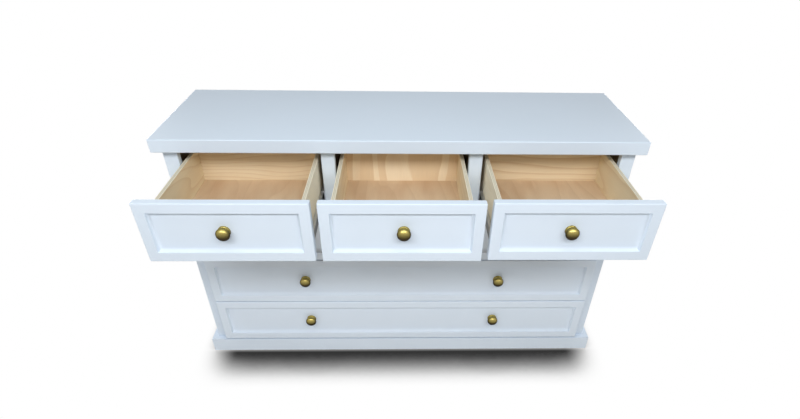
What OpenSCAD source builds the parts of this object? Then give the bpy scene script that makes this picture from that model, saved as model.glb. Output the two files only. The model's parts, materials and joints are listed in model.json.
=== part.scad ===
// Chest of drawers: three small drawers in the top row over three wide ones.
// Framed drawer fronts overlay a face frame, and every drawer box hangs on
// a pair of telescopic side runners. The small drawers are drawn pulled out.

/* [Cabinet] */
// Width over the two outer stiles
body_w = 1466; // [1260:2:1700]
// Depth from the front of the face frame to the back of the side panels
body_d = 411; // [380:1:560]
// Height from the floor to the upper face of the top slab
total_h = 900; // [840:1:1000]
// Thickness of the side panels
side_t = 20; // [16:0.5:25]
// Thickness of the two partitions behind the top dividers
partition_t = 20; // [14:0.5:24]
// Thickness of the shelf under the top row
shelf_t = 18; // [12:0.5:22]
// Thickness of the floor board of the cabinet
floor_t = 18; // [12:0.5:22]
// Thickness of the back panel
back_t = 5; // [3:0.5:9]

/* [Top slab] */
// Thickness of the slab
slab_t = 42; // [25:0.5:50]
// Overhang of the slab in front of the face frame
slab_front = 37; // [26:0.5:60]
// Overhang of the slab at each side
slab_side = 17; // [5:0.5:40]
// Overhang of the slab behind the side panels
slab_back = 2; // [0:0.5:20]
// Width of the eased edges of the painted boards
ease = 2; // [1:0.25:3]

/* [Face frame] */
// Thickness of the face frame
frame_t = 22; // [18:0.5:30]
// Width of the outer stiles
stile_w = 44; // [36:0.5:60]
// Width of the dividers between the top drawers
divider_w = 43; // [36:0.5:60]
// Height of the cross rails
rail_h = 44; // [40:0.5:50]
// Width of the middle opening in the top row
middle_w = 419; // [340:1:480]

/* [Plinth] */
// Height of the plinth
plinth_h = 60; // [45:0.5:80]
// Thickness of the plinth boards
plinth_t = 22; // [15:0.5:24]
// Width of the chamfer along the upper edge of the plinth
plinth_chamfer = 3; // [1:0.5:6]

/* [Drawer fronts] */
// Thickness of a front
front_t = 24; // [20:0.5:30]
// Height of the fronts in the top row
top_front_h = 183.5; // [165:0.5:200]
// Gap between the slab and the top fronts
slab_gap = 7; // [3:0.5:12]
// Strip of face frame that shows under the top fronts
strip_h = 25; // [18:0.5:32]
// Gap between the wide fronts
row_gap = 4; // [2:0.5:8]
// Gap between the plinth and the lowest front
plinth_gap = 8.5; // [4:0.5:14]
// Overlap of the fronts on the outer stiles
stile_overlap = 7; // [4:0.5:16]
// Gap between neighbouring fronts in the top row
divider_gap = 18.5; // [6:0.5:24]
// Gap between a closed front and the face frame
front_gap = 1.2; // [0.5:0.1:3]
// Width of the raised border of a front
border_w = 29; // [20:0.5:45]
// Depth of the recessed field in a front, and radius of its coved edge
recess_d = 12; // [6:0.5:14]

/* [Drawer boxes] */
// Thickness of the plywood sides and backs
ply_t = 12; // [9:0.5:15]
// Thickness of the drawer bottoms
bottom_t = 6; // [4:0.5:8]
// Height of a drawer bottom above the lower edge of its box
bottom_lift = 20; // [8:0.5:26]
// Depth of the grooves that hold a drawer bottom
groove_d = 6; // [3:0.5:7]
// Space left between the edge of a bottom and the end of its groove
groove_fit = 0.5; // [0:0.1:1]
// Height of a box's lower edge above that of its front
box_lift = 8.5; // [6:0.5:12]
// Space between the slab and the boxes of the top row
top_clear = 44.5; // [20:0.5:60]
// Space between a wide box and the rail above it
rail_above = 12; // [6:0.5:24]
// Space between a box and the rail below it
rail_below = 4; // [2:0.5:6]
// Space between a closed box and the back panel
rear_clear = 3; // [2:0.5:12]

/* [Runners] */
// Thickness of a runner between the box and the cabinet
runner_w = 12.7; // [10:0.1:14]
// Height of a runner
runner_h = 35; // [27:0.5:38]
// Thickness of the runner sheet
sheet_t = 1.2; // [0.8:0.1:1.6]
// Running clearance between the two members
runner_fit = 0.3; // [0.2:0.05:0.4]
// Set-back of a runner behind the face of the frame
runner_setback = 2; // [1:0.5:5]
// Travel of a drawer from closed to its stop
travel = 298; // [200:1:310]
// How far the right top drawer stands short of its stop
right_short = 5; // [0:1:40]
// Height of the wooden cleats that carry the runners
cleat_h = 44; // [40:0.5:48]

/* [Knobs] */
// Diameter of the head
knob_d = 38.5; // [35:0.5:42]
// Length from the front to the top of the head
knob_l = 29.5; // [26:0.5:38]
// Diameter of the foot
knob_foot_d = 34; // [33:0.5:38]
// Diameter of the neck
knob_neck_d = 29; // [24:0.5:30]
// Height of the widest ring of the head above the front
knob_rim = 16.5; // [13:0.5:20]
// Thickness of the foot
knob_foot_t = 6; // [3:0.5:6]
// Height of the knobs above the middle of their fronts
knob_up = 0.5; // [-5:0.5:10]
// Distance of the knobs on a wide front from its middle
knob_x = 351; // [200:1:560]
// Place of the top left knob across its front, from the middle to the right
left_knob_x = -9; // [-40:0.5:40]
// Place of the top middle knob across its front, from the middle to the right
middle_knob_x = 4; // [-40:0.5:40]
// Place of the top right knob across its front, from the middle to the right
right_knob_x = -6.5; // [-40:0.5:40]

/* [Hidden] */

paint = [0.88, 0.90, 0.93];
pine = [0.86, 0.72, 0.52];
board = [0.74, 0.62, 0.46];
zinc = [0.70, 0.71, 0.72];
brass = [0.56, 0.47, 0.22];

// Levels
slab_z = total_h - slab_t;
top_front_z = slab_z - slab_gap - top_front_h;
first_front_z = plinth_h + plinth_gap;
wide_front_h = (top_front_z - strip_h - first_front_z - 2*row_gap)/3;
row_pitch = wide_front_h + row_gap;
wide_box_h = row_pitch - rail_h - rail_below - rail_above;
top_box_h = slab_z - top_clear - top_front_z - box_lift;
shelf_z = top_front_z + box_lift - rail_below;
floor_z = first_front_z + box_lift - rail_below;

// Widths
stile_in = body_w/2 - stile_w;
panel_in = body_w/2 - side_t;
divider_x = (middle_w + divider_w)/2;
outer_w = stile_in - divider_x - divider_w/2;
fronts_w = 2*(stile_in + stile_overlap);
middle_front_w = 2*divider_x - divider_gap;
outer_front_w = fronts_w/2 - divider_x - divider_gap/2;

// Depths, measured from the face of the frame
panel_y = body_d - back_t;
box_back = panel_y - rear_clear;
runner_l = box_back - runner_setback;
front_face = -front_gap - front_t;

// One row for each drawer: name, middle and width of its opening, middle,
// level, width and height of its front, height of its box, places of its
// knobs, and how far it is pulled out
outer_mid = divider_x + divider_w/2 + outer_w/2;
outer_front_mid = fronts_w/2 - outer_front_w/2;
DRAWERS = [
    ["top_left", -outer_mid, outer_w, -outer_front_mid, top_front_z,
        outer_front_w, top_front_h, top_box_h, [left_knob_x], travel],
    ["top_middle", 0, middle_w, 0, top_front_z,
        middle_front_w, top_front_h, top_box_h, [middle_knob_x], travel],
    ["top_right", outer_mid, outer_w, outer_front_mid, top_front_z,
        outer_front_w, top_front_h, top_box_h, [right_knob_x], travel - right_short],
    ["upper_wide", 0, 2*stile_in, 0, first_front_z + 2*row_pitch,
        fronts_w, wide_front_h, wide_box_h, [-knob_x, knob_x], 0],
    ["middle_wide", 0, 2*stile_in, 0, first_front_z + row_pitch,
        fronts_w, wide_front_h, wide_box_h, [-knob_x, knob_x], 0],
    ["lower_wide", 0, 2*stile_in, 0, first_front_z,
        fronts_w, wide_front_h, wide_box_h, [-knob_x, knob_x], 0]
];
function drawer_name(d) = d[0];
function opening_mid(d) = d[1];
function opening_w(d) = d[2];
function front_mid(d) = d[3];
function front_z(d) = d[4];
function front_w(d) = d[5];
function front_h(d) = d[6];
function box_h(d) = d[7];
function knob_places(d) = d[8];
function pull(d) = d[9];
function box_w(d) = opening_w(d) - 2*runner_w;
function box_z(d) = front_z(d) + box_lift;

DRAWER_PIECES = ["front", "side_left", "side_right", "back", "bottom", "knob", "runners"];
CABINET = ["top_slab", "side_panel_left", "side_panel_right", "back_panel", "floor_board",
    "stile_left", "stile_right", "divider_left", "divider_right", "cross_rails",
    "partitions", "shelf", "plinth_front", "plinth_left", "plinth_right", "plinth_back",
    "runner_cleats", "cabinet_runners"];

// The model stands with the middle of its footprint box at the origin
knob_tip = front_face + recess_d - knob_l - travel;
origin_y = (body_d + slab_back + knob_tip)/2;

module place(size, at) {
    translate(at) cube(size);
}

// A rectangle with cut corners, from the origin
module cut_rectangle(w, h, cut) {
    polygon([[cut, 0], [w - cut, 0], [w, cut], [w, h - cut],
        [w - cut, h], [cut, h], [0, h - cut], [0, cut]]);
}

// A board with all its edges eased
module eased_board(size, cut) {
    intersection() {
        linear_extrude(size[2]) cut_rectangle(size[0], size[1], cut);
        translate([0, size[1], 0]) rotate([90, 0, 0])
            linear_extrude(size[1]) cut_rectangle(size[0], size[2], cut);
        rotate([90, 0, 90]) linear_extrude(size[0]) cut_rectangle(size[1], size[2], cut);
    }
}

// Cabinet

module top_slab() color(paint)
    translate([-body_w/2 - slab_side, -slab_front, slab_z])
        eased_board([body_w + 2*slab_side, slab_front + body_d + slab_back, slab_t], ease);

module side_panel(side) color(paint)
    place([side_t, body_d - frame_t, slab_z],
        [side > 0 ? panel_in : -body_w/2, frame_t, 0]);

module back_panel() color(board)
    place([2*panel_in, back_t, slab_z - floor_z + floor_t], [-panel_in, panel_y, floor_z - floor_t]);

module floor_board() color(board)
    place([2*panel_in, panel_y - frame_t, floor_t], [-panel_in, frame_t, floor_z - floor_t]);

module stile(side) color(paint)
    place([stile_w, frame_t, slab_z], [side > 0 ? stile_in : -body_w/2, 0, 0]);

module divider(side) color(paint)
    place([divider_w, frame_t, slab_z - shelf_z],
        [side*divider_x - divider_w/2, 0, shelf_z]);

// One rail under each row of drawers
module cross_rails() color(paint)
    for (top = [floor_z, floor_z + row_pitch, floor_z + 2*row_pitch, shelf_z])
        place([2*stile_in, frame_t, rail_h], [-stile_in, 0, top - rail_h]);

module partitions() color(board)
    for (side = [-1, 1])
        place([partition_t, panel_y - frame_t, slab_z - shelf_z],
            [side*divider_x - partition_t/2, frame_t, shelf_z]);

module shelf() color(board)
    place([2*panel_in, panel_y - frame_t, shelf_t], [-panel_in, frame_t, shelf_z - shelf_t]);

// A plinth board along X whose front upper edge is chamfered
module plinth_profile(length) {
    rotate([90, 0, 90]) linear_extrude(length)
        polygon([[0, 0], [plinth_t, 0], [plinth_t, plinth_h],
            [plinth_chamfer, plinth_h], [0, plinth_h - plinth_chamfer]]);
}

module plinth_front() color(paint)
    translate([-body_w/2 - plinth_t, -plinth_t, 0]) plinth_profile(body_w + 2*plinth_t);

module plinth_side(side) color(paint)
    if (side > 0)
        translate([body_w/2 + plinth_t, 0, 0]) rotate([0, 0, 90]) plinth_profile(body_d);
    else
        translate([-body_w/2 - plinth_t, body_d, 0]) rotate([0, 0, -90]) plinth_profile(body_d);

module plinth_back() color(board)
    place([2*panel_in, side_t, floor_z - floor_t], [-panel_in, panel_y - side_t, 0]);

// The edge of a drawer's opening at one side, and the board behind that edge
function edge_x(d, side) = opening_mid(d) + side*opening_w(d)/2;
function wall_x(d, side) =
    opening_w(d) > outer_w + middle_w || side*opening_mid(d) > 0 ? side*panel_in
    : opening_mid(d) == 0 ? side*(divider_x - partition_t/2)
    : -side*(divider_x + partition_t/2);

// Wooden cleats bring the runners flush with the openings
module runner_cleats() color(board)
    for (d = DRAWERS) for (side = [-1, 1])
        place([abs(wall_x(d, side) - edge_x(d, side)), panel_y - frame_t, cleat_h],
            [min(wall_x(d, side), edge_x(d, side)), frame_t, box_z(d) - rail_below]);

// A channel along Y that opens towards +X
module channel(depth, height, length) {
    difference() {
        translate([0, 0, -height/2]) cube([depth, length, height]);
        translate([sheet_t, -1, -height/2 + sheet_t])
            cube([depth, length + 2, height - 2*sheet_t]);
    }
}

// Puts a runner member with its web at x, turned to open towards the side given
module runner_at(d, x, side, out) {
    translate([x, runner_setback - out, box_z(d) + runner_h/2])
        mirror([side > 0 ? 0 : 1, 0, 0]) children();
}

module cabinet_runners() color(zinc)
    for (d = DRAWERS) for (side = [-1, 1])
        runner_at(d, edge_x(d, side), -side, 0)
            channel(runner_w - 2*sheet_t, runner_h, runner_l);

// Drawers

// Outline of the recess across one direction: a trough with coved edges
function trough(span) = [
    for (a = [0:18:90]) [recess_d - recess_d*cos(a), recess_d*sin(a)],
    for (a = [90:-18:0]) [span - recess_d + recess_d*cos(a), recess_d*sin(a)],
    [span, -1], [0, -1]
];

module front_recess(w, h) {
    intersection() {
        linear_extrude(h) polygon(trough(w));
        translate([w, 0, 0]) rotate([90, 0, -90]) linear_extrude(w)
            polygon([for (p = trough(h)) [-p[1], p[0]]]);
    }
}

// A framed front with a groove in its rear face for the drawer bottom
module drawer_front(d) color(paint)
    translate([front_mid(d) - front_w(d)/2, front_face - pull(d), front_z(d)]) difference() {
        eased_board([front_w(d), front_t, front_h(d)], ease);
        translate([border_w, 0, border_w])
            front_recess(front_w(d) - 2*border_w, front_h(d) - 2*border_w);
        translate([opening_mid(d) - front_mid(d) + front_w(d)/2 - inner_w(d)/2 - groove_d,
            front_t - groove_d, box_lift + bottom_lift])
            cube([inner_w(d) + 2*groove_d, groove_d + 1, bottom_t]);
    }

// Width of the space inside a box
function inner_w(d) = box_w(d) - 2*ply_t;

module box_side(d, side) color(pine)
    translate([opening_mid(d) + side*box_w(d)/2, -front_gap - pull(d), box_z(d)])
        mirror([side > 0 ? 1 : 0, 0, 0]) difference() {
            cube([ply_t, box_back + front_gap, box_h(d)]);
            translate([ply_t - groove_d, -1, bottom_lift])
                cube([groove_d + 1, box_back + front_gap + 2, bottom_t]);
        }

// The back stands on the bottom, between the sides
module box_rear(d) color(pine)
    place([inner_w(d), ply_t, box_h(d) - bottom_lift - bottom_t],
        [opening_mid(d) - inner_w(d)/2, box_back - ply_t - pull(d),
            box_z(d) + bottom_lift + bottom_t]);

module box_bottom(d) color(pine) {
    tongue = groove_d - groove_fit;
    place([inner_w(d) + 2*tongue, box_back + front_gap + tongue, bottom_t],
        [opening_mid(d) - inner_w(d)/2 - tongue, -front_gap - tongue - pull(d),
            box_z(d) + bottom_lift]);
}

// Mushroom knob on the recessed field, turned about Y: a thick foot with an eased
// edge, a short neck, and a wider head with a low dome
module knob_shape() {
    head = knob_d/2;
    neck = knob_neck_d/2;
    foot = knob_foot_d/2;
    edge = knob_foot_t/3;
    crown = knob_l - knob_rim;
    throat = (knob_foot_t + knob_rim)/2;
    rotate([90, 0, 0]) rotate_extrude($fn = 48) polygon(concat(
        [[0, 0], [foot, 0]],
        [for (a = [0:30:90]) [foot - edge + edge*cos(a), knob_foot_t - edge + edge*sin(a)]],
        [for (a = [15:15:90]) [neck + (foot - edge - neck)*(1 - sin(a)),
            knob_foot_t + (throat - knob_foot_t)*(1 - cos(a))]],
        [for (a = [75:-15:0]) [head - (head - neck)*(1 - cos(a)), knob_rim - (knob_rim - throat)*sin(a)]],
        [for (a = [15:15:90]) [head*cos(a), knob_rim + crown*sin(a)]]));
}

module knobs(d) color(brass)
    for (x = knob_places(d))
        translate([front_mid(d) + x, front_face + recess_d - pull(d),
            front_z(d) + front_h(d)/2 + knob_up]) knob_shape();

module drawer_runners(d) color(zinc)
    for (side = [-1, 1])
        runner_at(d, opening_mid(d) + side*box_w(d)/2, side, pull(d))
            channel(runner_w - 2*sheet_t, runner_h - 2*sheet_t - 2*runner_fit, runner_l);

module drawer_piece(d, piece) {
    if (piece == "front") drawer_front(d);
    if (piece == "side_left") box_side(d, -1);
    if (piece == "side_right") box_side(d, 1);
    if (piece == "back") box_rear(d);
    if (piece == "bottom") box_bottom(d);
    if (piece == "knob") knobs(d);
    if (piece == "runners") drawer_runners(d);
}

module cabinet_piece(piece) {
    if (piece == "top_slab") top_slab();
    if (piece == "side_panel_left") side_panel(-1);
    if (piece == "side_panel_right") side_panel(1);
    if (piece == "back_panel") back_panel();
    if (piece == "floor_board") floor_board();
    if (piece == "stile_left") stile(-1);
    if (piece == "stile_right") stile(1);
    if (piece == "divider_left") divider(-1);
    if (piece == "divider_right") divider(1);
    if (piece == "cross_rails") cross_rails();
    if (piece == "partitions") partitions();
    if (piece == "shelf") shelf();
    if (piece == "plinth_front") plinth_front();
    if (piece == "plinth_left") plinth_side(-1);
    if (piece == "plinth_right") plinth_side(1);
    if (piece == "plinth_back") plinth_back();
    if (piece == "runner_cleats") runner_cleats();
    if (piece == "cabinet_runners") cabinet_runners();
}

for (piece = CABINET)
    translate([0, -origin_y, 0]) cabinet_piece(piece);
for (d = DRAWERS) for (piece = DRAWER_PIECES)
    translate([0, -origin_y, 0]) drawer_piece(d, piece);
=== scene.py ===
"""Looks of the chest of drawers: painted boards, plywood drawer boxes, brass
knobs and zinc runners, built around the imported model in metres."""
import json
import math

import bmesh
import bpy
from mathutils import Matrix, Vector

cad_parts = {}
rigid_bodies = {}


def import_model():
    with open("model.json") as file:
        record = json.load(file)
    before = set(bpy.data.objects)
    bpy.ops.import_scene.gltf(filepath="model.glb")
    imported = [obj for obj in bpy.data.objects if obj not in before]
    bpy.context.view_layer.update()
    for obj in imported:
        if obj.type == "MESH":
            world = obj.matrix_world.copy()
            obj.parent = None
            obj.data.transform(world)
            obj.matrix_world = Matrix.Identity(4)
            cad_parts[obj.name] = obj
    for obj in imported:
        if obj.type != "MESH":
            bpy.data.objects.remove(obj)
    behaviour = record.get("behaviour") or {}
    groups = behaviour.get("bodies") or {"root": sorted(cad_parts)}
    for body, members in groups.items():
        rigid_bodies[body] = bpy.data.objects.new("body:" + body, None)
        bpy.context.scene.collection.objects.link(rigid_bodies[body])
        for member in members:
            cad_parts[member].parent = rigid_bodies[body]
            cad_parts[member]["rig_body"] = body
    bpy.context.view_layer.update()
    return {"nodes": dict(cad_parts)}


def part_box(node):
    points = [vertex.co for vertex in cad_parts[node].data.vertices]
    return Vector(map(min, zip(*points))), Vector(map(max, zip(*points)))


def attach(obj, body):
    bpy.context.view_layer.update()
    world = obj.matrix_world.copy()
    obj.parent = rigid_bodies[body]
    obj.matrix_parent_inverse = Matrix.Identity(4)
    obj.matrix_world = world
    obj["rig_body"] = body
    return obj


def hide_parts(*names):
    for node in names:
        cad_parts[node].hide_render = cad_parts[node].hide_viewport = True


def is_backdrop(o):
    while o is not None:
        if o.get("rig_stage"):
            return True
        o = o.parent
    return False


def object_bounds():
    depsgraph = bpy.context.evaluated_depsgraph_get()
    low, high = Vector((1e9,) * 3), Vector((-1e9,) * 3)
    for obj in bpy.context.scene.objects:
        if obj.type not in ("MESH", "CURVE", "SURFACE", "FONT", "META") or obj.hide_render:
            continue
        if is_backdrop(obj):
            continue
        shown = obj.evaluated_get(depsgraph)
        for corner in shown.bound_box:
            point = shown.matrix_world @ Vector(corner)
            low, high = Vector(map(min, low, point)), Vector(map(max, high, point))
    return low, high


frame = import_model()
scene = bpy.context.scene
NODES = frame["nodes"]
MM = 0.001
X, Y, Z = 0, 1, 2

DRAWERS = ("top_left", "top_middle", "top_right", "upper_wide", "middle_wide", "lower_wide")

# Camera of the photograph, found from the edges of the cabinet
FACE_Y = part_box("stile_left")[0].y
LENS_POINT = Vector((-0.00293, FACE_Y - 1.45957, 1.50877))
YAW, PITCH, ROLL = (math.radians(a) for a in (2.002, 37.936, -1.156))
FOCAL_PX = 504.393
CENTRE_PX = (415.296, 274.208)
IMAGE_W, IMAGE_H = 800, 419
SENSOR = 36.0
CLIP = (0.05, 60)

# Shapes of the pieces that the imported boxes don't give
BORDER = 29 * MM
RECESS = 12 * MM
ARRIS = 0.8 * MM
ARRIS_STEPS, COVE_STEPS = 3, 8
BOTTOM_LIFT = 20 * MM
BOTTOM_T = 6 * MM
GROOVE = 6 * MM
SHEET = 1.2 * MM

# Rounding of edges as (size, segments)
FRONT_EASE = (3.0 * MM, 4)
PANEL_EASE = (1.5 * MM, 4)
PLY_EASE = (0.7 * MM, 2)
BOTTOM_EASE = (0.3 * MM, 1)
RAW_EASE = (0.6 * MM, 2)
PLINTH_ROUNDING = (3 * MM, 4)
FOLD = (0.55 * MM, 3)

# Edges that turn more than this stay sharp
SHARP = math.radians(40)
# How close points lie that are the same, that share a face, that reach a side
SAME, SHARED, REACHED = 1e-6, 1e-5, 1e-4
# How much of a normal lies along an axis for a face that looks that way, and for a flat one
FACING, FLAT = 0.9, 0.99


# Camera and stage


def photo_camera():
    forward = Vector((math.sin(YAW) * math.cos(PITCH), math.cos(YAW) * math.cos(PITCH),
                      -math.sin(PITCH)))
    level = Vector((math.cos(YAW), -math.sin(YAW), 0))
    below = forward.cross(level)
    right = level * math.cos(ROLL) + below * math.sin(ROLL)
    down = below * math.cos(ROLL) - level * math.sin(ROLL)
    data = bpy.data.cameras.new("photo_camera")
    data.sensor_width = SENSOR
    data.lens = FOCAL_PX / IMAGE_W * SENSOR
    data.shift_x = (IMAGE_W / 2 - CENTRE_PX[0]) / IMAGE_W
    data.shift_y = (CENTRE_PX[1] - IMAGE_H / 2) / IMAGE_W
    data.clip_start, data.clip_end = CLIP
    camera = bpy.data.objects.new("photo_camera", data)
    turn = Matrix((right, -down, -forward)).transposed()
    camera.matrix_world = Matrix.Translation(LENS_POINT) @ turn.to_4x4()
    scene.collection.objects.link(camera)
    scene.camera = camera


photo_camera()
scene.view_settings.view_transform = "Standard"


# Node helpers


def add(tree, kind, inputs=None, **settings):
    """A new shader node; inputs are linked where they are sockets."""
    made = tree.nodes.new("ShaderNode" + kind)
    for key, value in settings.items():
        setattr(made, key, value)
    for key, value in (inputs or {}).items():
        if isinstance(value, bpy.types.NodeSocket):
            tree.links.new(value, made.inputs[key])
        else:
            made.inputs[key].default_value = value
    return made


def calc(tree, operation, *values):
    """The result of a Math node."""
    return add(tree, "Math", dict(enumerate(values)), operation=operation).outputs[0]


def remap(tree, value, low, high):
    """A smooth step of a value: 0 at low, 1 at high."""
    made = add(tree, "MapRange", {"Value": value, "From Min": low, "From Max": high,
                                  "To Min": 0.0, "To Max": 1.0},
               interpolation_type="SMOOTHSTEP")
    return made.outputs["Result"]


def blend_colour(tree, factor, first, second, how="MIX"):
    made = add(tree, "Mix", data_type="RGBA", blend_type=how)
    for index, value in ((0, factor), (6, first), (7, second)):
        if isinstance(value, bpy.types.NodeSocket):
            tree.links.new(value, made.inputs[index])
        else:
            made.inputs[index].default_value = value
    return made.outputs[2]


def noise(tree, where, scale=1.0, detail=2.0, rough=0.5):
    return add(tree, "TexNoise", {"Vector": where, "Scale": scale, "Detail": detail,
                                  "Roughness": rough}).outputs["Fac"]


def ramp(tree, value, stops):
    """Grey as a chain of straight lines through stops of (place, grey)."""
    made = add(tree, "ValToRGB", {"Fac": value})
    bands = made.color_ramp
    bands.interpolation = "LINEAR"
    while len(bands.elements) < len(stops):
        bands.elements.new(0.5)
    for element, (place, grey) in zip(bands.elements, stops):
        element.position = place
        element.color = (grey, grey, grey, 1)
    return made.outputs["Color"]


def combine(tree, x, y=0.0, z=0.0):
    return add(tree, "CombineXYZ", {0: x, 1: y, 2: z}).outputs[0]


def scaled(tree, axes, *factors):
    """Coordinates times a factor each, for noise that is finer one way than another."""
    return combine(tree, *[calc(tree, "MULTIPLY", axis, factor)
                           for axis, factor in zip(axes, factors)])


def object_place(tree):
    return add(tree, "TexCoord").outputs["Object"]


def grain_axes(tree):
    """The piece's own map: along the grain, across the grain."""
    uv = add(tree, "UVMap", uv_map="grain").outputs[0]
    axes = add(tree, "SeparateXYZ", {0: uv}).outputs
    return axes[0], axes[1]


def speckled(tree, colour, grain, contrast, base):
    """A colour times a fine grain."""
    shade = calc(tree, "MULTIPLY_ADD", grain, contrast, base)
    return blend_colour(tree, 1.0, colour, combine(tree, shade, shade, shade), "MULTIPLY")


def surface(tree, out, colour, varied, swing, base, strength, distance, height):
    """Puts out the colour, a roughness of base + varied * swing, and a bump."""
    tree.links.new(colour, out["Base Color"])
    tree.links.new(calc(tree, "MULTIPLY_ADD", varied, swing, base), out["Roughness"])
    bump = add(tree, "Bump", {"Strength": strength, "Distance": distance, "Height": height})
    tree.links.new(bump.outputs[0], out["Normal"])


SOCKETS = {float: "NodeSocketFloat", tuple: "NodeSocketColor"}
SURFACE = {"Base Color": "Color", "Roughness": "Float", "Normal": "Vector"}


def new_group(name, inputs):
    """A shader node group with named inputs that puts out a surface."""
    group = bpy.data.node_groups.new(name, "ShaderNodeTree")
    for label, value in inputs.items():
        socket = group.interface.new_socket(label, in_out="INPUT",
                                            socket_type=SOCKETS[type(value)])
        socket.default_value = value
    for label, kind in SURFACE.items():
        group.interface.new_socket(label, in_out="OUTPUT", socket_type="NodeSocket" + kind)
    given = group.nodes.new("NodeGroupInput").outputs
    return group, given, group.nodes.new("NodeGroupOutput").inputs


def new_material(name, group, values, plain):
    """A material whose shader takes what the group puts out, by the sockets' names."""
    material = bpy.data.materials.new(name)
    material.use_nodes = True
    tree = material.node_tree
    shader = tree.nodes["Principled BSDF"]
    placed = tree.nodes.new("ShaderNodeGroup")
    placed.node_tree = group
    for label, value in values.items():
        placed.inputs[label].default_value = value
    for socket in placed.outputs:
        tree.links.new(socket, shader.inputs[socket.name])
    for label, value in plain.items():
        shader.inputs[label].default_value = value
    return material


def rgb(red, green, blue):
    return (red, green, blue, 1.0)


# Surfaces

# Growth rings: each ring darkens slowly and ends with a sharp line
RING_STOPS = [(0.0, 0.0), (0.62, 0.06), (0.88, 0.7), (0.95, 1.0), (1.0, 0.0)]
# Layers through the plywood: 0 for a long ply, 1 for a cross ply
PLY_STOPS = [(0.0, 0.0), (0.235, 0.0), (0.265, 0.9), (0.42, 1.0), (0.45, 0.45),
             (0.61, 0.5), (0.64, 1.0), (0.80, 0.9), (0.83, 0.0), (1.0, 0.0)]
# Fineness of the figure along and across the grain, for a map in metres
WANDER, PATCHES, FIBRES = (3.0, 9.0), (3.6, 11.0), (22.0, 1100.0)
RINGS_ALONG = 1.9
PLY_WAVER, PLY_SPECKS = 9.0, (420.0, 2400.0)
# Fineness of the rolling streaks on zinc in X, Y and Z
STREAKS = (900.0, 12.0, 900.0)
# Spans of a noise or of a ring over which one tone passes into the other
DRIFT_SPAN, PATCH_SPAN, DULL_SPAN, LATE_SPAN = (0.35, 0.65), (0.42, 0.68), (0.4, 0.7), (0.40, 0.46)
# How strongly noise bends the rings, the plies and the edge of the patina
RING_WANDER, PLY_WANDER, PATINA_CLOUD = 0.5, 0.05, 0.24
# Heights of the paint's fine ripple and of its broad waves
FINE_RIPPLE, BROAD_WAVES = 0.6, 2.2


def sprayed_paint():
    """Satin paint: a faint drift of tone and the fine ripple that a spray gun leaves."""
    tree, given, out = new_group("sprayed_paint", {
        "Paint": rgb(0.8, 0.8, 0.8), "Drift": rgb(0.78, 0.78, 0.78), "Gloss": 0.35,
        "Ripple": 0.12})
    where = object_place(tree)
    drift = remap(tree, noise(tree, where, scale=2.6, detail=3.0), *DRIFT_SPAN)
    colour = blend_colour(tree, drift, given["Paint"], given["Drift"])
    waves = calc(tree, "MULTIPLY", noise(tree, where, scale=38.0), BROAD_WAVES)
    fine = noise(tree, where, scale=420.0, detail=1.0)
    ripple = calc(tree, "MULTIPLY_ADD", fine, FINE_RIPPLE, waves)
    surface(tree, out, colour, varied=noise(tree, where, scale=55.0), swing=0.10,
            base=given["Gloss"], strength=given["Ripple"], distance=0.0006, height=ripple)
    return tree


def pine_veneer():
    """Flat-cut pine: growth rings as contours of a stretched field, fibres and warm patches."""
    tree, given, out = new_group("pine_veneer", {
        "Early": rgb(0.7, 0.55, 0.33), "Late": rgb(0.5, 0.33, 0.16), "Patch": rgb(0.6, 0.4, 0.2),
        "Rings": 9.0, "Slope": 14.0, "Line": 0.4, "Patches": 0.3, "Stretch": 7.0,
        "Step": 0.0})
    axes = grain_axes(tree)
    wander = noise(tree, scaled(tree, axes, *WANDER))
    field = noise(tree, scaled(tree, axes, RINGS_ALONG, given["Stretch"]), detail=1.5, rough=0.45)
    rings = calc(tree, "ADD", calc(tree, "MULTIPLY", field, given["Rings"]),
                 calc(tree, "MULTIPLY", axes[1], given["Slope"]))
    rings = calc(tree, "ADD", rings, calc(tree, "MULTIPLY", wander, RING_WANDER))
    ring = calc(tree, "FRACT", rings)
    line = calc(tree, "MULTIPLY", ramp(tree, ring, RING_STOPS), given["Line"])
    band = remap(tree, ring, *LATE_SPAN)
    patch = remap(tree, noise(tree, scaled(tree, axes, *PATCHES)), *PATCH_SPAN)
    patch = calc(tree, "MULTIPLY", patch, given["Patches"])
    patch = calc(tree, "MAXIMUM", patch, calc(tree, "MULTIPLY", band, given["Step"]))
    colour = blend_colour(tree, patch, given["Early"], given["Patch"])
    colour = blend_colour(tree, line, colour, given["Late"])
    fibres = noise(tree, scaled(tree, axes, *FIBRES), rough=0.6)
    surface(tree, out, speckled(tree, colour, fibres, contrast=0.22, base=0.89), varied=fibres,
            swing=-0.16, base=0.62, strength=0.25, distance=0.0003, height=fibres)
    return tree


def ply_layers():
    """Sawn edge of plywood: long plies and darker end-grain plies, with fibre ends."""
    tree, given, out = new_group("ply_layers", {
        "Long": rgb(0.75, 0.62, 0.4), "Cross": rgb(0.5, 0.4, 0.26), "Thickness": 12 * MM})
    axes = grain_axes(tree)
    waver = calc(tree, "MULTIPLY", noise(tree, scaled(tree, axes[:1], PLY_WAVER)), PLY_WANDER)
    depth = calc(tree, "ADD", calc(tree, "DIVIDE", axes[1], given["Thickness"]), waver)
    layer = ramp(tree, depth, PLY_STOPS)
    colour = blend_colour(tree, layer, given["Long"], given["Cross"])
    specks = noise(tree, scaled(tree, axes, *PLY_SPECKS))
    surface(tree, out, speckled(tree, colour, specks, contrast=0.30, base=0.85), varied=specks,
            swing=0.12, base=0.66, strength=0.3, distance=0.0003, height=specks)
    return tree


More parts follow.
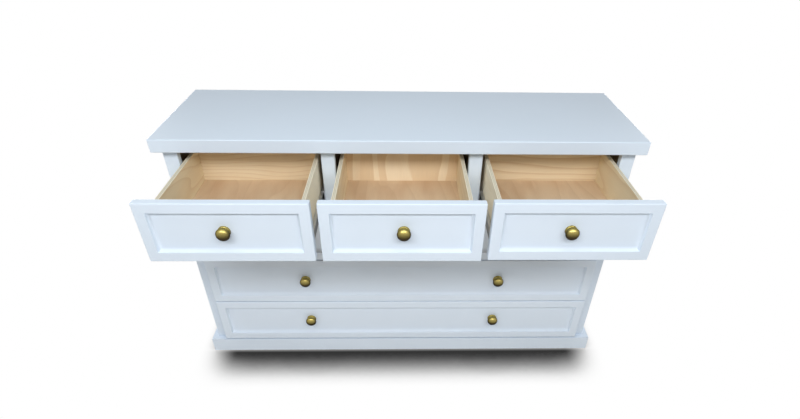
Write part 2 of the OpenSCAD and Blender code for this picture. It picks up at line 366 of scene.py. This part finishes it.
def worn_brass():
    """Antique brass: the brass tone, mixed towards dark by the piece's attribute, which holds
    patina together with painted shade and a painted highlight.
    """
    tree, given, out = new_group("worn_brass", {
        "Rubbed": rgb(0.4, 0.32, 0.1), "Dark": rgb(0.06, 0.04, 0.01), "Gloss": 0.28})
    where = object_place(tree)
    patina_and_painted_light = add(tree, "Attribute", attribute_name="patina_and_painted_light").outputs["Fac"]
    cloud = noise(tree, where, scale=260.0, detail=3.0)
    cloud = calc(tree, "MULTIPLY_ADD", cloud, PATINA_CLOUD, -PATINA_CLOUD / 2)
    amount = calc(tree, "ADD", patina_and_painted_light, cloud)
    amount = remap(tree, amount, 0.0, 1.0)
    colour = blend_colour(tree, amount, given["Rubbed"], given["Dark"])
    surface(tree, out, colour, varied=amount, swing=0.14, base=given["Gloss"], strength=0.12,
            distance=0.0002, height=noise(tree, where, scale=1500.0, detail=1.0))
    return tree


def rolled_zinc():
    """Zinc-plated sheet with the streaks of rolling along Y."""
    tree, given, out = new_group("rolled_zinc", {
        "Metal": rgb(0.66, 0.67, 0.69), "Dull": rgb(0.5, 0.51, 0.53), "Gloss": 0.3})
    axes = add(tree, "SeparateXYZ", {0: object_place(tree)}).outputs
    streaks = noise(tree, scaled(tree, axes, *STREAKS))
    colour = blend_colour(tree, remap(tree, streaks, *DULL_SPAN), given["Metal"], given["Dull"])
    surface(tree, out, colour, varied=streaks, swing=0.2, base=given["Gloss"], strength=0.1,
            distance=0.0002, height=streaks)
    return tree


PINE = pine_veneer()
BACK_TONES = ((0.84, 0.70, 0.49), (0.66, 0.47, 0.27), (0.76, 0.58, 0.37))


def pine(name, early, late, patch, **figure):
    """Lacquered pine with its tones and the figure of its rings and patches."""
    tones = {"Early": rgb(*early), "Late": rgb(*late), "Patch": rgb(*patch)}
    return new_material(name, PINE, tones | figure, {"IOR": 1.4})


white_paint = new_material("white_paint", sprayed_paint(), {
    "Paint": rgb(0.757, 0.85, 0.962), "Drift": rgb(0.747, 0.84, 0.948)}, {"IOR": 1.46})
pine_side = pine("pine_side", (0.91, 0.79, 0.56), (0.66, 0.47, 0.26), (0.82, 0.64, 0.40),
                 Line=0.4, Rings=7.0)
# Outer faces of the drawer sides: a paler veneer that partly is painted light from the dividers
pine_outside_pale_and_lit = pine("pine_outside_pale_and_lit", (0.95, 0.87, 0.70), (0.78, 0.63, 0.44), (0.88, 0.76, 0.56),
                    Line=0.25, Rings=6.0)
pine_back_left = pine("pine_back_left", *BACK_TONES, Rings=9.0, Slope=62.0, Line=0.6, Patches=0.35)
pine_back_middle = pine("pine_back_middle", (0.91, 0.77, 0.56), (0.62, 0.42, 0.22),
                        (0.72, 0.51, 0.29), Rings=3.0, Slope=11.0, Line=0.15, Patches=0.35,
                        Stretch=6.0, Step=0.5)
pine_back_right = pine("pine_back_right", *BACK_TONES, Rings=3.5, Slope=38.0, Line=0.85,
                       Patches=0.25)
pine_bottom = pine("pine_bottom", (0.73, 0.55, 0.37), (0.56, 0.37, 0.22), (0.61, 0.40, 0.24),
                   Line=0.3, Patches=0.7, Rings=5.0)
# Bare pine toned dark: partly the raw wood, partly painted shade of the closed cabinet
bare_board = pine("bare_board", (0.44, 0.33, 0.21), (0.31, 0.21, 0.12), (0.37, 0.26, 0.15),
                  Line=0.4)
ply_edge = new_material("ply_edge", ply_layers(), {
    "Long": rgb(0.86, 0.79, 0.63), "Cross": rgb(0.62, 0.56, 0.43)}, {"IOR": 1.4})
brass = new_material("antique_brass", worn_brass(), {
    "Rubbed": rgb(0.40, 0.325, 0.095), "Dark": rgb(0.04, 0.028, 0.006), "Gloss": 0.31},
    {"Metallic": 1.0, "Specular Tint": rgb(0.30, 0.22, 0.06), "Coat Weight": 0.25,
     "Coat Roughness": 0.15})
zinc = new_material("zinc_steel", rolled_zinc(), {}, {"Metallic": 1.0})


# Mesh helpers


def solids_of(name):
    """The separate solids of a CAD node: lowest corner, highest corner and points of each."""
    bm = bmesh.new()
    bm.from_mesh(NODES[name].data)
    bmesh.ops.remove_doubles(bm, verts=bm.verts[:], dist=SAME)
    left, found = set(bm.verts), []
    while left:
        near, points = [left.pop()], []
        while near:
            vert = near.pop()
            points.append(vert.co.copy())
            for edge in vert.link_edges:
                other = edge.other_vert(vert)
                if other in left:
                    left.discard(other)
                    near.append(other)
        low = Vector([min(p[i] for p in points) for i in range(3)])
        high = Vector([max(p[i] for p in points) for i in range(3)])
        found.append((low, high, points))
    bm.free()
    return sorted(found, key=lambda s: [round(c, 5) for c in s[0]])


def round_edges(bm, edges, size, segments):
    bmesh.ops.bevel(bm, geom=edges, offset=size, offset_type="OFFSET", segments=segments,
                    profile=0.5, affect="EDGES", material=-1)


def board(low, high, ease):
    """A board whose edges are rounded by ease, a (size, segments) pair."""
    bm = bmesh.new()
    bmesh.ops.create_cube(bm, size=1.0)
    bmesh.ops.scale(bm, vec=high - low, verts=bm.verts)
    bmesh.ops.translate(bm, vec=(low + high) / 2, verts=bm.verts)
    round_edges(bm, bm.edges[:], *ease)
    return bm


def swept(outline, low_y, high_y):
    """A closed outline of (x, z) places, swept along Y."""
    bm = bmesh.new()
    face = bm.faces.new([bm.verts.new((x, low_y, z)) for x, z in outline])
    made = bmesh.ops.extrude_face_region(bm, geom=[face])["geom"]
    moved = [g for g in made if isinstance(g, bmesh.types.BMVert)]
    bmesh.ops.translate(bm, vec=(0, high_y - low_y, 0), verts=moved)
    bmesh.ops.recalc_face_normals(bm, faces=bm.faces[:])
    return bm


def lay_grain(bm, low, high, along, through, shift):
    """Gives the mesh its own map: U follows the grain, V crosses it. The broad faces get slot 0;
    the sawn edges get slot 1, with V measured through the thickness."""
    layer = bm.loops.layers.uv.new("grain")
    across = 3 - along - through
    for face in bm.faces:
        main = max(range(3), key=lambda i: abs(face.normal[i]))
        face.material_index = 0 if main == through else 1
        u = across if main == along else along
        for loop in face.loops:
            co = loop.vert.co
            v = co[across] + shift[1] if main == through else co[through] - low[through]
            loop[layer].uv = (co[u] + shift[0], v)


def looks_along_x(face, sign):
    """Whether a face looks towards +X, or towards -X for sign -1."""
    return face.normal.x * sign > FACING


def finish_piece(name, bm, materials, slot, *nodes):
    """Makes the object, smooths its rounded edges and puts it on the body of its CAD node."""
    for face in bm.faces:
        face.smooth = True
    for edge in bm.edges:
        edge.smooth = edge.calc_face_angle(0.0) < SHARP
    mesh = bpy.data.meshes.new(name)
    bm.to_mesh(mesh)
    bm.free()
    for material in materials:
        mesh.materials.append(material)
    piece = bpy.data.objects.new(name, mesh)
    scene.collection.objects.link(piece)
    weigh = piece.modifiers.new("flat_faces_stay_flat", "WEIGHTED_NORMAL")
    weigh.keep_sharp = True
    body = NODES[nodes[0]]["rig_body"]
    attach(piece, body)
    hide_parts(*nodes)


def joined(parts):
    """Several meshes in one."""
    whole = bmesh.new()
    for part in parts:
        spare = bpy.data.meshes.new("spare")
        part.to_mesh(spare)
        part.free()
        whole.from_mesh(spare)
        bpy.data.meshes.remove(spare)
    return whole


def quarter(step, steps):
    """The angle of a step on a quarter of a circle."""
    return math.radians(90 * step / steps)


# Painted boards, with the rounding of their edges in millimetres

PAINTED_SEGMENTS = 4
PAINTED = {"top_slab": 3.2, "stile_left": 2.6, "stile_right": 2.6, "divider_left": 4.2,
           "divider_right": 4.2, "cross_rails": 1.2}
for name, ease in PAINTED.items():
    rounding = (ease * MM, PAINTED_SEGMENTS)
    bm = joined([board(low, high, rounding) for low, high, _ in solids_of(name)])
    finish_piece("painted_" + name, bm, [white_paint], "white_paint", name)


# The side panels are painted outside and bare inside the cabinet, where the dark bare wood
# is partly painted shade
for name, inward in (("side_panel_left", 1), ("side_panel_right", -1)):
    low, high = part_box(name)
    bm = board(low, high, PANEL_EASE)
    lay_grain(bm, low, high, Y, X, (low.x, 0.0))
    for face in bm.faces:
        face.material_index = 1 if looks_along_x(face, inward) else 0
    finish_piece("painted_" + name, bm, [white_paint, bare_board], "white_paint", name)


# What tells the plinth's long outer edges: their length, their distance from the middle
PLINTH_EDGE, PLINTH_OUTER = 0.2, 0.009


def plinth_board(name, outward):
    """A plinth board whose upper outer edge is rounded; its ends are nearly square."""
    low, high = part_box(name)
    middle = (low + high) / 2
    bm = board(low, high, RAW_EASE)
    top = high.z - MM
    edges = [e for e in bm.edges if e.calc_length() > PLINTH_EDGE and all(
        v.co.z > top and (v.co - middle).dot(outward) > PLINTH_OUTER for v in e.verts)]
    round_edges(bm, edges[:1], *PLINTH_ROUNDING)
    return bm


for name, outward in (("plinth_front", (0, -1, 0)), ("plinth_left", (-1, 0, 0)),
                      ("plinth_right", (1, 0, 0))):
    finish_piece("painted_" + name, plinth_board(name, Vector(outward)), [white_paint],
                 "white_paint", name)


def framed_front(low, high):
    """A drawer front with a raised border and a recessed field with coved edges."""
    bm = board(low, high, FRONT_EASE)
    field = max((f for f in bm.faces if f.normal.y < -FLAT), key=lambda f: f.calc_area())
    profile = [(0.0, 0.0)]
    for step in range(1, ARRIS_STEPS + 1):
        turn = quarter(step, ARRIS_STEPS)
        profile.append((ARRIS * math.sin(turn), ARRIS * (1 - math.cos(turn))))
    radius = RECESS - ARRIS
    for step in range(1, COVE_STEPS + 1):
        turn = quarter(step, COVE_STEPS)
        profile.append((ARRIS + radius * (1 - math.cos(turn)), ARRIS + radius * math.sin(turn)))
    bmesh.ops.inset_region(bm, faces=[field], thickness=BORDER - FRONT_EASE[0],
                           use_even_offset=True)
    for before, after in zip(profile, profile[1:]):
        bmesh.ops.inset_region(bm, faces=[field], thickness=after[0] - before[0],
                               use_even_offset=True)
        bmesh.ops.translate(bm, vec=(0, after[1] - before[1], 0), verts=field.verts[:])
    return bm


for drawer in DRAWERS:
    node = drawer + "_front"
    finish_piece("framed_front_" + drawer, framed_front(*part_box(node)), [white_paint],
                 "white_paint", node)


# Plywood drawer boxes


def grooved_side(low, high, inward):
    """A drawer side with the groove for the bottom in its inner face."""
    outer, inner = (low.x, high.x) if inward > 0 else (high.x, low.x)
    deep = inner - inward * GROOVE
    floor = low.z + BOTTOM_LIFT
    bm = swept([(outer, low.z), (inner, low.z), (inner, floor), (deep, floor),
                (deep, floor + BOTTOM_T), (inner, floor + BOTTOM_T), (inner, high.z),
                (outer, high.z)], low.y, high.y)
    outside = [e for e in bm.edges if all(
        min(v.co.x - low.x, high.x - v.co.x) < SHARED for v in e.verts)]
    round_edges(bm, outside, *PLY_EASE)
    return bm


# The veneer of each small drawer's back and the axis of its grain
BACK_VENEER = {"top_left": (pine_back_left, X), "top_middle": (pine_back_middle, Z),
               "top_right": (pine_back_right, X)}
# How far the figure moves from one board to the next, along and across the grain, in metres
SIDE_STEP, BACK_STEP = (0.61, 0.37), (0.43, 0.29)
BOTTOM_STEP, BARE_STEP = (0.53, 0.41), (0.7, 0.3)
# The left sides start elsewhere in the figure than the right ones
LEFT_SHIFT = 0.27


def figure_shift(count, step):
    return (step[0] * count, step[1] * count)


for count, drawer in enumerate(DRAWERS):
    for side, inward in (("left", 1), ("right", -1)):
        node = f"{drawer}_side_{side}"
        low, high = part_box(node)
        bm = grooved_side(low, high, inward)
        along, across = figure_shift(count, SIDE_STEP)
        along += LEFT_SHIFT if inward > 0 else 0.0
        lay_grain(bm, low, high, Y, X, (along, across))
        # The outer faces take the paler pine, which is partly painted light
        outer_faces = [f for f in bm.faces if f.material_index == 0 and looks_along_x(f, -inward)]
        for face in outer_faces:
            face.material_index = 2
        finish_piece(f"ply_side_{side}_{drawer}", bm, [pine_side, ply_edge, pine_outside_pale_and_lit],
                     "pine_ply", node)
    veneer, grain = BACK_VENEER.get(drawer, (pine_back_left, X))
    node = drawer + "_back"
    low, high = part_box(node)
    bm = board(low, high, PLY_EASE)
    lay_grain(bm, low, high, grain, Y, figure_shift(count, BACK_STEP))
    finish_piece("ply_back_" + drawer, bm, [veneer, ply_edge], "pine_ply", node)
    node = drawer + "_bottom"
    low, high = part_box(node)
    bm = board(low, high, BOTTOM_EASE)
    lay_grain(bm, low, high, Y, Z, figure_shift(count, BOTTOM_STEP))
    finish_piece("ply_bottom_" + drawer, bm, [pine_bottom, ply_edge], "pine_ply", node)


# Knobs


# A knob's form in millimetres: radii of foot, neck and head, heights above the seat
FOOT_R, NECK_R, HEAD_R = 17.0, 14.5, 19.25
FOOT_T, THROAT, RIM, KNOB_L = 6.0, 11.25, 16.5, 29.5
FOOT_STEPS, NECK_STEPS, DOME_STEPS, TURNS = 6, 9, 18, 64
# Patina with painted shade, 0 for rubbed and 1 for dark: on the seat and the foot; on the
# neck and what the throat adds; under the head and what each step towards the throat adds; on
# the crown and what the rim adds. Towards the throat and under the head this is patina in the
# hollow and painted shade of the crease; the darker rim is painted shade only
SEAT_PATINA, FOOT_PATINA = 0.5, 0.55
NECK_PATINA, THROAT_PATINA_SHADE = 0.4, 0.6
UNDER_HEAD_PATINA_SHADE, STEP_PATINA_SHADE = 0.85, 0.05
CROWN_PATINA, RIM_SHADE_ADDS = 0.7, 0.32
# Painted shade and highlight: the patina value rises towards the bottom of the knob and falls
# towards its top, so its lower half shows darker and its upper half lighter
SHADE_BELOW_HIGHLIGHT_ABOVE = 0.75


def knob_outline():
    """Half outline of a knob as (radius, height above its seat, patina with painted shade),
    in millimetres.
    """
    edge = FOOT_T / 3
    rows = [(0.0, 0.0, SEAT_PATINA), (FOOT_R, 0.0, SEAT_PATINA)]
    for step in range(FOOT_STEPS + 1):
        turn = quarter(step, FOOT_STEPS)
        rows.append((FOOT_R - edge + edge * math.cos(turn),
                     FOOT_T - edge + edge * math.sin(turn), FOOT_PATINA))
    # The neck darkens towards the throat: patina in the hollow and painted shade of the crease
    for step in range(1, NECK_STEPS + 1):
        turn = quarter(step, NECK_STEPS)
        rows.append((NECK_R + (FOOT_R - edge - NECK_R) * (1 - math.sin(turn)),
                     FOOT_T + (THROAT - FOOT_T) * (1 - math.cos(turn)),
                     NECK_PATINA + THROAT_PATINA_SHADE * (step / NECK_STEPS) ** 3))
    # Under the head the darkening grows towards the throat: patina and painted shade
    for step in range(NECK_STEPS - 1, -1, -1):
        turn = quarter(step, NECK_STEPS)
        rows.append((HEAD_R - (HEAD_R - NECK_R) * (1 - math.cos(turn)),
                     RIM - (RIM - THROAT) * math.sin(turn), UNDER_HEAD_PATINA_SHADE + STEP_PATINA_SHADE * step))
    # The dome darkens towards its rim: painted shade for the dark reflections at its edges
    for step in range(1, DOME_STEPS):
        turn = quarter(step, DOME_STEPS)
        radius = math.cos(turn)
        rows.append((HEAD_R * radius, RIM + (KNOB_L - RIM) * math.sin(turn),
                     CROWN_PATINA + RIM_SHADE_ADDS * radius ** 8))
    rows.append((0.0, KNOB_L, CROWN_PATINA))
    return rows


def knob(centre_x, centre_z, seat_y):
    bm = bmesh.new()
    layer = bm.verts.layers.float.new("patina_and_painted_light")
    verts = []
    for radius, height, patina_and_painted_light in knob_outline():
        vert = bm.verts.new((centre_x + radius * MM, seat_y - height * MM, centre_z))
        vert[layer] = patina_and_painted_light
        verts.append(vert)
    edges = [bm.edges.new(pair) for pair in zip(verts, verts[1:])]
    bmesh.ops.spin(bm, geom=verts + edges, cent=(centre_x, seat_y, centre_z), axis=(0, 1, 0),
                   dvec=(0, 0, 0), angle=math.tau, steps=TURNS, use_merge=True,
                   use_duplicate=False)
    bmesh.ops.remove_doubles(bm, verts=bm.verts[:], dist=SAME)
    bmesh.ops.recalc_face_normals(bm, faces=bm.faces[:])
    for vert in bm.verts:
        # Painted shade below the knob's middle, painted highlight above it
        vert[layer] -= SHADE_BELOW_HIGHLIGHT_ABOVE * (vert.co.z - centre_z) / (HEAD_R * MM)
    return bm


for drawer in DRAWERS:
    node = drawer + "_knob"
    knobs = [knob((low.x + high.x) / 2, (low.z + high.z) / 2, high.y)
             for low, high, _ in solids_of(node)]
    finish_piece("knobs_" + drawer, joined(knobs), [brass], "antique_brass", node)


# Runners


def runner(low, high, points):
    """A folded channel along Y, open on the side where the CAD solid is open."""
    at_high = sum(p.x > high.x - REACHED for p in points)
    at_low = sum(p.x < low.x + REACHED for p in points)
    web, lip = (low.x, high.x) if at_high > at_low else (high.x, low.x)
    inner = web + math.copysign(SHEET, lip - web)
    bm = swept([(web, low.z), (lip, low.z), (lip, low.z + SHEET), (inner, low.z + SHEET),
                (inner, high.z - SHEET), (lip, high.z - SHEET), (lip, high.z), (web, high.z)],
               low.y, high.y)
    folds = [e for e in bm.edges if abs(e.verts[0].co.x - e.verts[1].co.x) < SAME
             and abs(e.verts[0].co.z - e.verts[1].co.z) < SAME]
    round_edges(bm, folds, *FOLD)
    return bm


for node in [d + "_runners" for d in DRAWERS] + ["cabinet_runners"]:
    bm = joined([runner(*solid) for solid in solids_of(node)])
    finish_piece("zinc_" + node, bm, [zinc], "zinc_steel", node)


# Bare boards inside the cabinet, toned dark: partly raw wood, partly painted shade

for count, name in enumerate(("back_panel", "floor_board", "partitions", "shelf", "plinth_back",
                              "runner_cleats")):
    parts = []
    along_step, across_step = figure_shift(count, BARE_STEP)
    for low, high, _ in solids_of(name):
        bm = board(low, high, RAW_EASE)
        size = high - low
        along = max(range(3), key=lambda i: size[i])
        through = min(range(3), key=lambda i: size[i])
        lay_grain(bm, low, high, along, through, (along_step + low.x, across_step + low.z))
        parts.append(bm)
    finish_piece("bare_" + name, joined(parts), [bare_board, ply_edge], "bare_board", name)


# Light and floor

FRONT_AIM = (0.0, FACE_Y + 0.037, 0.62)
TOP_AIM = (-0.1, FACE_Y - 0.1, 0.9)
BACK_AIM = (0.0, 0.1, 0.45)
NEUTRAL, COOL = (1.0, 1.0, 1.0), (0.62, 1.0, 1.12)
# A broad key over the camera, a nearer one, two overhead and two fills behind:
# name, place, aim, width, height, watts, colour
LAMPS = (
    ("broad_key", (0.0, FACE_Y - 1.8, 2.24), FRONT_AIM, 3.8, 0.45, 41.0, NEUTRAL),
    ("near_key", (-0.1, FACE_Y - 1.22, 1.72), FRONT_AIM, 2.0, 0.22, 3.8, NEUTRAL),
    ("high_strip", (-0.1, FACE_Y - 0.8, 2.3), FRONT_AIM, 2.0, 0.12, 3.2, NEUTRAL),
    ("cool_top", (-0.1, FACE_Y - 0.3, 2.3), TOP_AIM, 1.6, 0.3, 1.7, COOL),
    ("rear_fill", (-3.0, 2.6, 0.75), BACK_AIM, 2.0, 1.2, 60.0, NEUTRAL),
    ("rear_fill", (3.0, 2.6, 0.75), BACK_AIM, 2.0, 1.2, 60.0, NEUTRAL),
)
ROOM_TONE, ROOM_STRENGTH = rgb(0.95, 1.0, 1.04), 0.2
WHITE = rgb(1, 1, 1)

# The floor: half its width, and the tone that it throws back
FLOOR_HALF, FLOOR_TONE = 14.0, rgb(0.95, 0.90, 0.83)
# The drawn shadow in front of the plinth: reach of the search for cover, where it begins and is
# full in Y, where it ends and is full in X, its curve and its darkest tone
SHADOW_REACH, SHADOW_SAMPLES = 0.2, 24
SHADOW_Y = (FACE_Y + 0.007, FACE_Y - 0.038)
SHADOW_X = (0.82, 0.66)
SHADOW_POWER, SHADOW_GAIN, SHADOW_DARKEST = 2.64, 1.2, 0.035
# The faint shadow right beside the plinth
CONTACT_REACH, CONTACT_SAMPLES, CONTACT_DEPTH = 0.06, 16, 0.35


def soft_lamp(name, place, aim, width, height, power, colour):
    data = bpy.data.lights.new(name, "AREA")
    data.shape = "RECTANGLE"
    data.size, data.size_y = width, height
    data.energy = power
    data.color = colour
    lamp = bpy.data.objects.new(name, data)
    place, aim = Vector(place), Vector(aim)
    turn = (aim - place).to_track_quat("-Z", "Y").to_matrix()
    lamp.matrix_world = Matrix.Translation(place) @ turn.to_4x4()
    scene.collection.objects.link(lamp)


def seen_directly(tree):
    """1 for rays from the camera, also by way of a glossy or clear surface; 0 for diffuse ones."""
    path = add(tree, "LightPath").outputs
    shown = calc(tree, "MAXIMUM", path["Is Camera Ray"], path["Is Glossy Ray"])
    return calc(tree, "MAXIMUM", shown, path["Is Transmission Ray"])


def put_out(tree, kind, other, shown):
    """Shows one shader directly and lets the other one light the scene."""
    mixed = add(tree, "MixShader", {0: seen_directly(tree), 1: other.outputs[0],
                                    2: shown.outputs[0]})
    add(tree, "Output" + kind, {"Surface": mixed.outputs[0]})


def room_light():
    world = bpy.data.worlds.new("room_light")
    scene.world = world
    world.use_nodes = True
    tree = world.node_tree
    tree.nodes.clear()
    plain = add(tree, "Background", {"Color": ROOM_TONE, "Strength": ROOM_STRENGTH})
    white = add(tree, "Background", {"Color": WHITE, "Strength": 1.0})
    put_out(tree, "World", plain, white)


def uncovered(tree, reach, samples):
    """1 where nothing stands over the floor within reach, less beside a piece."""
    return add(tree, "AmbientOcclusion", {"Distance": reach}, samples=samples).outputs["AO"]


def floor_brightness(tree):
    """1 on the open floor, darker in the drawn shadow and beside the plinth."""
    axes = add(tree, "SeparateXYZ", {0: object_place(tree)}).outputs
    front = remap(tree, axes[1], *SHADOW_Y)
    inside = remap(tree, calc(tree, "ABSOLUTE", axes[0]), *SHADOW_X)
    sky = uncovered(tree, SHADOW_REACH, SHADOW_SAMPLES)
    sky = calc(tree, "MAXIMUM", calc(tree, "MULTIPLY_ADD", sky, 2.0, -1.0), 0.0)
    sky = calc(tree, "MULTIPLY", calc(tree, "POWER", sky, SHADOW_POWER), SHADOW_GAIN)
    sky = calc(tree, "MAXIMUM", calc(tree, "MINIMUM", sky, 1.0), SHADOW_DARKEST)
    shadow = calc(tree, "MULTIPLY", calc(tree, "MULTIPLY", front, inside),
                  calc(tree, "SUBTRACT", 1.0, sky))
    contact = remap(tree, uncovered(tree, CONTACT_REACH, CONTACT_SAMPLES), 1.0, 0.5)
    contact = calc(tree, "MULTIPLY", contact, CONTACT_DEPTH)
    return calc(tree, "SUBTRACT", 1.0, calc(tree, "MAXIMUM", shadow, contact))


def pale_floor():
    """A large pale floor that shows white, darkened where the plinth stands over it."""
    bm = bmesh.new()
    bmesh.ops.create_grid(bm, x_segments=1, y_segments=1, size=FLOOR_HALF)
    mesh = bpy.data.meshes.new("pale_floor")
    bm.to_mesh(mesh)
    bm.free()
    floor = bpy.data.objects.new("pale_floor", mesh)
    scene.collection.objects.link(floor)
    material = bpy.data.materials.new("pale_floor")
    material.use_nodes = True
    tree = material.node_tree
    tree.nodes.clear()
    shown = add(tree, "Emission", {"Color": WHITE, "Strength": floor_brightness(tree)})
    cloth = add(tree, "BsdfDiffuse", {"Color": FLOOR_TONE})
    put_out(tree, "Material", cloth, shown)
    mesh.materials.append(material)
    floor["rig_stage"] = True


for lamp in LAMPS:
    soft_lamp(*lamp)
room_light()
pale_floor()

low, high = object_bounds()
